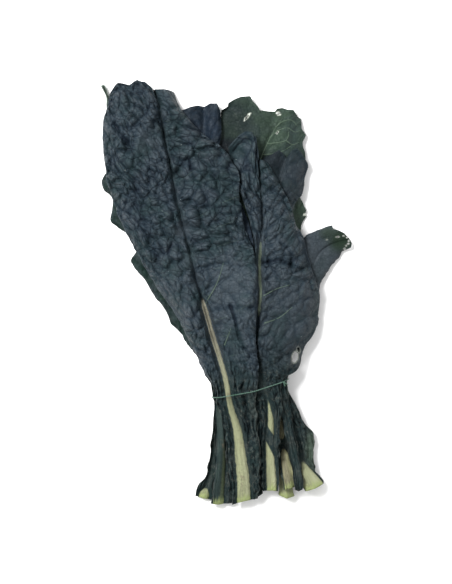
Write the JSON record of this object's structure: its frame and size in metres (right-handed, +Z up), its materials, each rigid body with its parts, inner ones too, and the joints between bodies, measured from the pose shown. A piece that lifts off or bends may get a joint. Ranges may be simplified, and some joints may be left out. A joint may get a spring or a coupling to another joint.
{
  "type": "lacinato kale bunch",
  "caption": "Tied bunch of long, dark, blistered kale leaves with pale ribs, lying flat, held near the cut stems by a thin strand.",
  "frame": {"origin": "on the resting surface, under the middle of the bunch's outline seen from above", "axes": "+Y from the cut stems towards the leaf tips, +X to the right when seen from above, +Z up"},
  "size_m": [0.254, 0.426, 0.061],
  "materials": {
    "leaf_under_middle": "matte blistered leaf, dark green",
    "leaf_under_right": "matte blistered leaf, dark green",
    "leaf_back_green": "matte leaf, mid green with pale veins",
    "leaf_left_rear": "matte blistered leaf, dark green",
    "leaf_right_tail": "matte leaf, slate blue-green",
    "leaf_right_inner": "matte leaf, slate blue-green",
    "leaf_back_slate": "matte blistered leaf, slate blue-green",
    "leaf_top_right": "matte blistered leaf, slate blue-green",
    "leaf_top_left": "matte blistered leaf, slate blue-green",
    "tie": "thin pale green strand"
  },
  "bodies": {
    "root": {"leaf_under_middle": "leaf_under_middle", "leaf_under_right": "leaf_under_right", "leaf_back_green": "leaf_back_green", "leaf_left_rear": "leaf_left_rear", "leaf_right_tail": "leaf_right_tail", "leaf_right_inner": "leaf_right_inner", "leaf_back_slate": "leaf_back_slate", "leaf_top_right": "leaf_top_right", "leaf_top_left": "leaf_top_left", "tie": "tie"}
  },
  "joints": []
}
